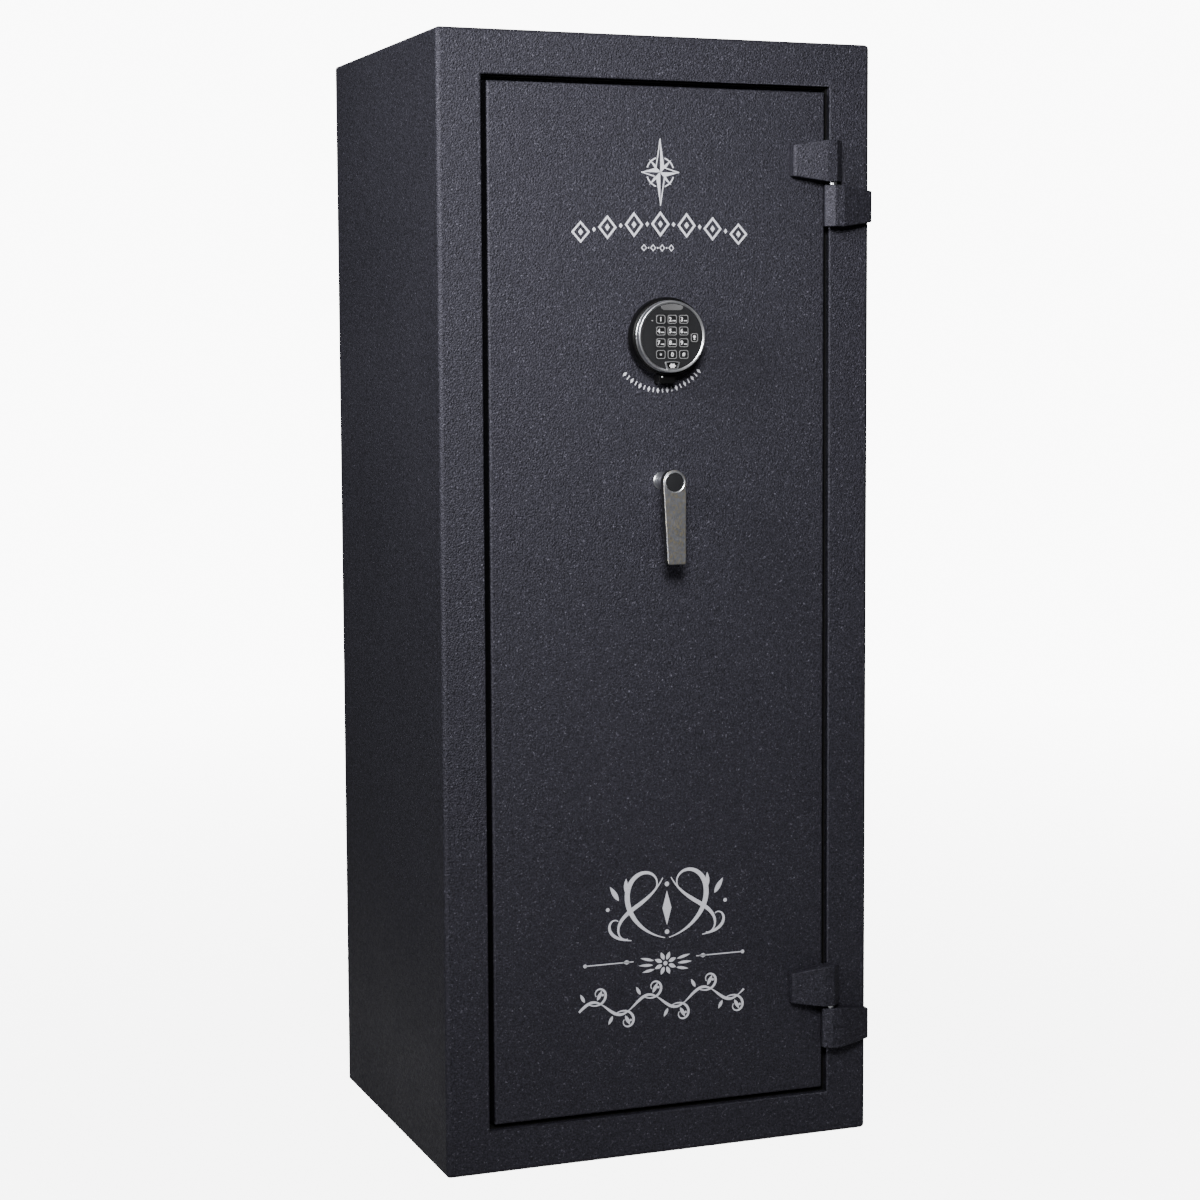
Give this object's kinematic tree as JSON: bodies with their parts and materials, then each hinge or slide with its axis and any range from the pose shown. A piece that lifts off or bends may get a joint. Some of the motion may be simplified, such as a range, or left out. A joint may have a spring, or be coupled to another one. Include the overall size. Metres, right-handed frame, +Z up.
{
  "type": "gun safe",
  "caption": "Upright steel gun safe with one outward opening door, external hinges, round electronic keypad, lever handle, sliding locking bars and carpeted shelves.",
  "frame": {"origin": "centre of the base, on the surface the safe stands on", "axes": "+Z up, -Y out of the front face, +X to the right of a person who faces the door"},
  "size_m": [0.616, 0.5671, 1.511],
  "materials": {
    "powder_coat": "textured charcoal powder coat",
    "satin_steel": "plated and brushed",
    "polished_chrome": "polished",
    "satin_nickel": "satin nickel, lightly grained",
    "black_plastic": "moulded, satin",
    "membrane": "smooth keypad face",
    "key_rubber": "satin keys",
    "light_window": "translucent light pipe",
    "carpet": "short pile carpet",
    "panel_fabric": "upholstery",
    "pocket_fabric": "woven nylon",
    "fire_board": "paper faced gypsum board",
    "seal": "graphite strip",
    "zinc": "bright zinc",
    "hardened_steel": "hardened, oiled",
    "brass": "turned",
    "battery_label": "battery can"
  },
  "bodies": {
    "body": {"left_side": "powder_coat", "right_side": "powder_coat", "top_plate": "powder_coat", "floor_plate": "powder_coat", "back_plate": "powder_coat", "front_frame": "powder_coat", "heat_seal": "seal", "fireboard_lining": "fire_board", "wall_liners": "carpet", "floor_carpet": "carpet", "shelf_divider": "carpet", "shelves": "carpet", "shelf_clips": "zinc", "barrel_rest": "carpet", "stock_rest": "carpet", "cord_hole_plug": "seal", "hinge_frame_leaves": "powder_coat", "hinge_pins": "polished_chrome", "hinge_bearings": "polished_chrome"},
    "door": {"door_skin": "powder_coat", "door_fireboard": "fire_board", "door_backing_plate": "powder_coat", "hinge_door_leaves": "powder_coat", "fixed_deadbars": "satin_steel", "boltwork_housing": "powder_coat", "guide_studs": "zinc", "hard_plate": "hardened_steel", "lock_case": "brass", "spindle_bushing": "brass", "door_back_panel": "panel_fabric", "door_pockets": "pocket_fabric", "keypad_housing": "black_plastic", "keypad_bezel": "polished_chrome", "keypad_face": "membrane", "keypad_light_window": "light_window", "keypad_cable": "black_plastic"},
    "boltwork": {"bolt_carriage": "satin_steel", "locking_bars": "satin_steel", "bolt_rack": "zinc"},
    "handle": {"handle_lever": "satin_nickel", "handle_cap": "black_plastic", "handle_hub": "polished_chrome", "handle_shaft": "zinc", "handle_pinion": "zinc"},
    "lock_bolt": {"lock_bolt": "brass"},
    "battery_drawer": {"battery_drawer": "black_plastic", "battery": "battery_label"},
    "key_1": {"key_1": "key_rubber"},
    "key_2": {"key_2": "key_rubber"},
    "key_3": {"key_3": "key_rubber"},
    "key_4": {"key_4": "key_rubber"},
    "key_5": {"key_5": "key_rubber"},
    "key_6": {"key_6": "key_rubber"},
    "key_7": {"key_7": "key_rubber"},
    "key_8": {"key_8": "key_rubber"},
    "key_9": {"key_9": "key_rubber"},
    "key_0": {"key_0": "key_rubber"},
    "key_star": {"key_star": "key_rubber"},
    "key_hash": {"key_hash": "key_rubber"},
    "key_light": {"key_light": "key_rubber"}
  },
  "joints": [
    {"name": "door_swing", "type": "hinge", "parent": "body", "child": "door", "pos_m": [0.247, -0.267, 0.7515], "axis": [0, 0, 1], "range_deg": [0, 180]},
    {"name": "handle_turn", "type": "hinge", "parent": "door", "child": "handle", "pos_m": [0, -0.29, 0.923], "axis": [0, 1, 0], "range_deg": [0, 90]},
    {"name": "boltwork_slide", "type": "slide", "parent": "door", "child": "boltwork", "axis": [-1, 0, 0], "range_m": [0, 0.0315]},
    {"name": "lock_bolt_slide", "type": "slide", "parent": "door", "child": "lock_bolt", "axis": [0, 0, 1], "range_m": [0, 0.009]},
    {"name": "battery_drawer_slide", "type": "slide", "parent": "door", "child": "battery_drawer", "axis": [0, 0, -1], "range_m": [0, 0.052]},
    {"name": "key_1_press", "type": "slide", "parent": "door", "child": "key_1", "axis": [0, 1, 0], "range_m": [0, 0.001], "stiffness_N_per_m": 400},
    {"name": "key_2_press", "type": "slide", "parent": "door", "child": "key_2", "axis": [0, 1, 0], "range_m": [0, 0.001], "stiffness_N_per_m": 400},
    {"name": "key_3_press", "type": "slide", "parent": "door", "child": "key_3", "axis": [0, 1, 0], "range_m": [0, 0.001], "stiffness_N_per_m": 400},
    {"name": "key_4_press", "type": "slide", "parent": "door", "child": "key_4", "axis": [0, 1, 0], "range_m": [0, 0.001], "stiffness_N_per_m": 400},
    {"name": "key_5_press", "type": "slide", "parent": "door", "child": "key_5", "axis": [0, 1, 0], "range_m": [0, 0.001], "stiffness_N_per_m": 400},
    {"name": "key_6_press", "type": "slide", "parent": "door", "child": "key_6", "axis": [0, 1, 0], "range_m": [0, 0.001], "stiffness_N_per_m": 400},
    {"name": "key_7_press", "type": "slide", "parent": "door", "child": "key_7", "axis": [0, 1, 0], "range_m": [0, 0.001], "stiffness_N_per_m": 400},
    {"name": "key_8_press", "type": "slide", "parent": "door", "child": "key_8", "axis": [0, 1, 0], "range_m": [0, 0.001], "stiffness_N_per_m": 400},
    {"name": "key_9_press", "type": "slide", "parent": "door", "child": "key_9", "axis": [0, 1, 0], "range_m": [0, 0.001], "stiffness_N_per_m": 400},
    {"name": "key_0_press", "type": "slide", "parent": "door", "child": "key_0", "axis": [0, 1, 0], "range_m": [0, 0.001], "stiffness_N_per_m": 400},
    {"name": "key_star_press", "type": "slide", "parent": "door", "child": "key_star", "axis": [0, 1, 0], "range_m": [0, 0.001], "stiffness_N_per_m": 400},
    {"name": "key_hash_press", "type": "slide", "parent": "door", "child": "key_hash", "axis": [0, 1, 0], "range_m": [0, 0.001], "stiffness_N_per_m": 400},
    {"name": "key_light_press", "type": "slide", "parent": "door", "child": "key_light", "axis": [0, 1, 0], "range_m": [0, 0.001], "stiffness_N_per_m": 400}
  ],
  "couplings": [
    {"joint": "boltwork_slide", "follows": "handle_turn", "m_per_rad": 0.02}
  ]
}
